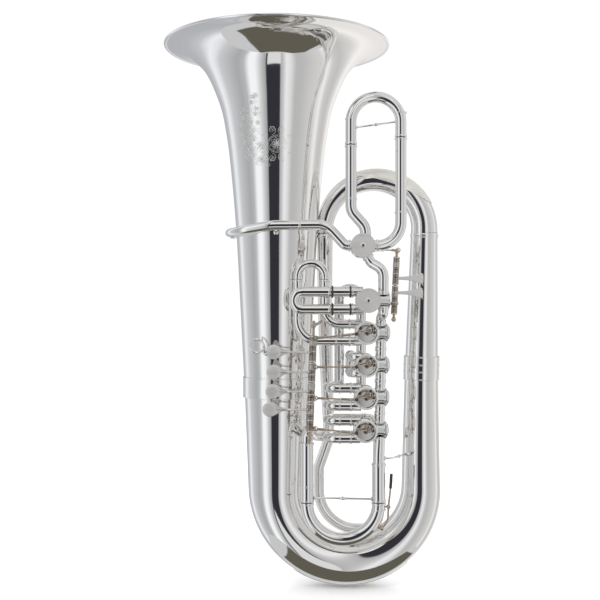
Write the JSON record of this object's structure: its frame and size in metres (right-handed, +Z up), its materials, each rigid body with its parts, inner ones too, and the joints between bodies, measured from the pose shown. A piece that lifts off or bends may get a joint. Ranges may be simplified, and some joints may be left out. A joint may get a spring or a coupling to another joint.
{
  "type": "tuba",
  "caption": "Silver-plated rotary tuba with an upright flared bell, finger paddles, thumb levers and pull slides, front view held upright",
  "frame": {"origin": "the point under the middle of the bounding box, on the plane of the bottom bow guard's lowest point", "axes": "+Z up along the bell's axis, +X to the side of the large outer branch, -Y towards the valves, caps and paddles; metres"},
  "size_m": [0.5158, 0.4196, 1.0095],
  "materials": {
    "silver_plate": "polished silver plate",
    "satin_silver": "brushed silver plate",
    "nickel_silver": "nickel silver, lightly worn"
  },
  "bodies": {
    "body": {"bell": "silver_plate", "bell_ferrule": "silver_plate", "bottom_bow": "silver_plate", "bottom_bow_guard": "silver_plate", "branch_ferrule": "silver_plate", "outer_branch": "silver_plate", "top_bow": "silver_plate", "top_bow_guard": "silver_plate", "inner_branch": "silver_plate", "crossing_loop": "silver_plate", "leadpipe": "silver_plate", "mouthpiece_receiver": "silver_plate", "valve1_casing": "silver_plate", "valve2_casing": "silver_plate", "valve3_casing": "silver_plate", "valve4_casing": "silver_plate", "valve5_casing": "silver_plate", "valve6_casing": "silver_plate", "port_cap1": "silver_plate", "port_cap2": "silver_plate", "port_cap3": "silver_plate", "port_cap4": "silver_plate", "knuckle_1_2": "silver_plate", "knuckle_2_3": "silver_plate", "knuckle_3_4": "silver_plate", "knuckle_6_1": "silver_plate", "s_pipe": "silver_plate", "tuning_slide_tubes": "silver_plate", "thumb_ring": "silver_plate", "branch_brace": "silver_plate", "valve5_cap": "satin_silver", "valve6_cap": "satin_silver", "paddle_hinge_rod": "nickel_silver", "thumb_hinge_rod": "nickel_silver"},
    "tuning_slide": {"tuning_slide": "silver_plate"},
    "water_key": {"water_key": "nickel_silver"},
    "slide1": {"slide1": "silver_plate"},
    "slide2": {"slide2": "silver_plate"},
    "slide3": {"slide3": "silver_plate"},
    "slide4": {"slide4": "silver_plate"},
    "slide5": {"slide5": "silver_plate"},
    "slide6": {"slide6": "silver_plate"},
    "rotor1": {"valve1_rotor": "nickel_silver"},
    "rotor2": {"valve2_rotor": "nickel_silver"},
    "rotor3": {"valve3_rotor": "nickel_silver"},
    "rotor4": {"valve4_rotor": "nickel_silver"},
    "rotor5": {"valve5_rotor": "nickel_silver"},
    "rotor6": {"valve6_rotor": "nickel_silver"},
    "paddle1": {"paddle1": "satin_silver"},
    "paddle2": {"paddle2": "satin_silver"},
    "paddle3": {"paddle3": "satin_silver"},
    "paddle4": {"paddle4": "satin_silver"},
    "thumb_lever5": {"thumb_lever5": "satin_silver"},
    "thumb_lever6": {"thumb_lever6": "satin_silver"},
    "link1": {"link1": "nickel_silver"},
    "link2": {"link2": "nickel_silver"},
    "link3": {"link3": "nickel_silver"},
    "link4": {"link4": "nickel_silver"},
    "link5": {"link5": "nickel_silver"},
    "link6": {"link6": "nickel_silver"}
  },
  "joints": [
    {"name": "tuning_slide_pull", "type": "slide", "parent": "body", "child": "tuning_slide", "axis": [0, 0, -1], "range_m": [0, 0.05]},
    {"name": "slide1_pull", "type": "slide", "parent": "body", "child": "slide1", "axis": [0, 0, 1], "range_m": [0, 0.04]},
    {"name": "slide2_pull", "type": "slide", "parent": "body", "child": "slide2", "axis": [0, 1, 0], "range_m": [0, 0.02]},
    {"name": "slide3_pull", "type": "slide", "parent": "body", "child": "slide3", "axis": [0, 0, 1], "range_m": [0, 0.04]},
    {"name": "slide4_pull", "type": "slide", "parent": "body", "child": "slide4", "axis": [1, 0, 0], "range_m": [0, 0.035]},
    {"name": "slide5_pull", "type": "slide", "parent": "body", "child": "slide5", "axis": [0, 0, 1], "range_m": [0, 0.08]},
    {"name": "slide6_pull", "type": "slide", "parent": "body", "child": "slide6", "axis": [-1, 0, 0], "range_m": [0, 0.03]},
    {"name": "paddle1_press", "type": "hinge", "parent": "body", "child": "paddle1", "pos_m": [0.01695, -0.09, 0.4234], "axis": [-0.0379, 0, -0.9993], "range_deg": [0, 25], "stiffness_Nm_per_rad": 0.06, "springref_deg": -34.38},
    {"name": "link1_swing", "type": "hinge", "parent": "paddle1", "child": "link1", "pos_m": [0.022, -0.112, 0.467], "axis": [-0.0379, 0, -0.9993], "range_deg": [-25, 0]},
    {"name": "rotor1_turn", "type": "hinge", "parent": "body", "child": "rotor1", "pos_m": [0.1138, -0.075, 0.4755], "axis": [0, -1, 0], "range_deg": [0, 90]},
    {"name": "paddle2_press", "type": "hinge", "parent": "body", "child": "paddle2", "pos_m": [0.01559, -0.09, 0.3874], "axis": [-0.0379, 0, -0.9993], "range_deg": [0, 25], "stiffness_Nm_per_rad": 0.06, "springref_deg": -34.38},
    {"name": "link2_swing", "type": "hinge", "parent": "paddle2", "child": "link2", "pos_m": [0.022, -0.112, 0.4163], "axis": [-0.0379, 0, -0.9993], "range_deg": [-25, 0]},
    {"name": "rotor2_turn", "type": "hinge", "parent": "body", "child": "rotor2", "pos_m": [0.1131, -0.075, 0.4175], "axis": [0, -1, 0], "range_deg": [0, 90]},
    {"name": "paddle3_press", "type": "hinge", "parent": "body", "child": "paddle3", "pos_m": [0.01422, -0.09, 0.3514], "axis": [-0.0379, 0, -0.9993], "range_deg": [0, 25], "stiffness_Nm_per_rad": 0.06, "springref_deg": -34.38},
    {"name": "link3_swing", "type": "hinge", "parent": "paddle3", "child": "link3", "pos_m": [0.022, -0.112, 0.3618], "axis": [-0.0379, 0, -0.9993], "range_deg": [-25, 0]},
    {"name": "rotor3_turn", "type": "hinge", "parent": "body", "child": "rotor3", "pos_m": [0.1123, -0.075, 0.36], "axis": [0, -1, 0], "range_deg": [0, 90]},
    {"name": "paddle4_press", "type": "hinge", "parent": "body", "child": "paddle4", "pos_m": [0.01226, -0.09, 0.2995], "axis": [-0.0379, 0, -0.9993], "range_deg": [0, 25], "stiffness_Nm_per_rad": 0.06, "springref_deg": -34.38},
    {"name": "link4_swing", "type": "hinge", "parent": "paddle4", "child": "link4", "pos_m": [0.022, -0.112, 0.3082], "axis": [-0.0379, 0, -0.9993], "range_deg": [-25, 0]},
    {"name": "rotor4_turn", "type": "hinge", "parent": "body", "child": "rotor4", "pos_m": [0.1112, -0.075, 0.3013], "axis": [0, -1, 0], "range_deg": [0, 90]},
    {"name": "thumb_lever5_press", "type": "hinge", "parent": "body", "child": "thumb_lever5", "pos_m": [0.1663, -0.072, 0.5605], "axis": [0.0471, 0, 0.9989], "range_deg": [0, 25], "stiffness_Nm_per_rad": 0.06, "springref_deg": -34.38},
    {"name": "link5_swing", "type": "hinge", "parent": "thumb_lever5", "child": "link5", "pos_m": [0.17354, -0.05, 0.6248], "axis": [0.0471, 0, 0.9989], "range_deg": [-25, 0]},
    {"name": "rotor5_turn", "type": "hinge", "parent": "body", "child": "rotor5", "pos_m": [0.106, -0.085, 0.63], "axis": [0, 1, 0], "range_deg": [0, 90]},
    {"name": "thumb_lever6_press", "type": "hinge", "parent": "body", "child": "thumb_lever6", "pos_m": [0.16382, -0.072, 0.508], "axis": [0.0471, 0, 0.9989], "range_deg": [0, 25], "stiffness_Nm_per_rad": 0.06, "springref_deg": -34.38},
    {"name": "link6_swing", "type": "hinge", "parent": "thumb_lever6", "child": "link6", "pos_m": [0.16976, -0.05, 0.5278], "axis": [0.0471, 0, 0.9989], "range_deg": [-25, 0]},
    {"name": "rotor6_turn", "type": "hinge", "parent": "body", "child": "rotor6", "pos_m": [0.115, -0.092, 0.533], "axis": [0, 1, 0], "range_deg": [0, 90]},
    {"name": "water_key_rock", "type": "hinge", "parent": "tuning_slide", "child": "water_key", "pos_m": [0.1538, -0.075, 0.163], "axis": [0, -1, 0], "range_deg": [0, 6], "stiffness_Nm_per_rad": 0.08, "springref_deg": -22.92}
  ],
  "couplings": [
    {"joint": "link1_swing", "follows": "paddle1_press", "ratio": -1},
    {"joint": "rotor1_turn", "follows": "paddle1_press", "ratio": 3.6},
    {"joint": "link2_swing", "follows": "paddle2_press", "ratio": -1},
    {"joint": "rotor2_turn", "follows": "paddle2_press", "ratio": 3.6},
    {"joint": "link3_swing", "follows": "paddle3_press", "ratio": -1},
    {"joint": "rotor3_turn", "follows": "paddle3_press", "ratio": 3.6},
    {"joint": "link4_swing", "follows": "paddle4_press", "ratio": -1},
    {"joint": "rotor4_turn", "follows": "paddle4_press", "ratio": 3.6},
    {"joint": "link5_swing", "follows": "thumb_lever5_press", "ratio": -1},
    {"joint": "rotor5_turn", "follows": "thumb_lever5_press", "ratio": 3.6},
    {"joint": "link6_swing", "follows": "thumb_lever6_press", "ratio": -1},
    {"joint": "rotor6_turn", "follows": "thumb_lever6_press", "ratio": 3.6}
  ]
}
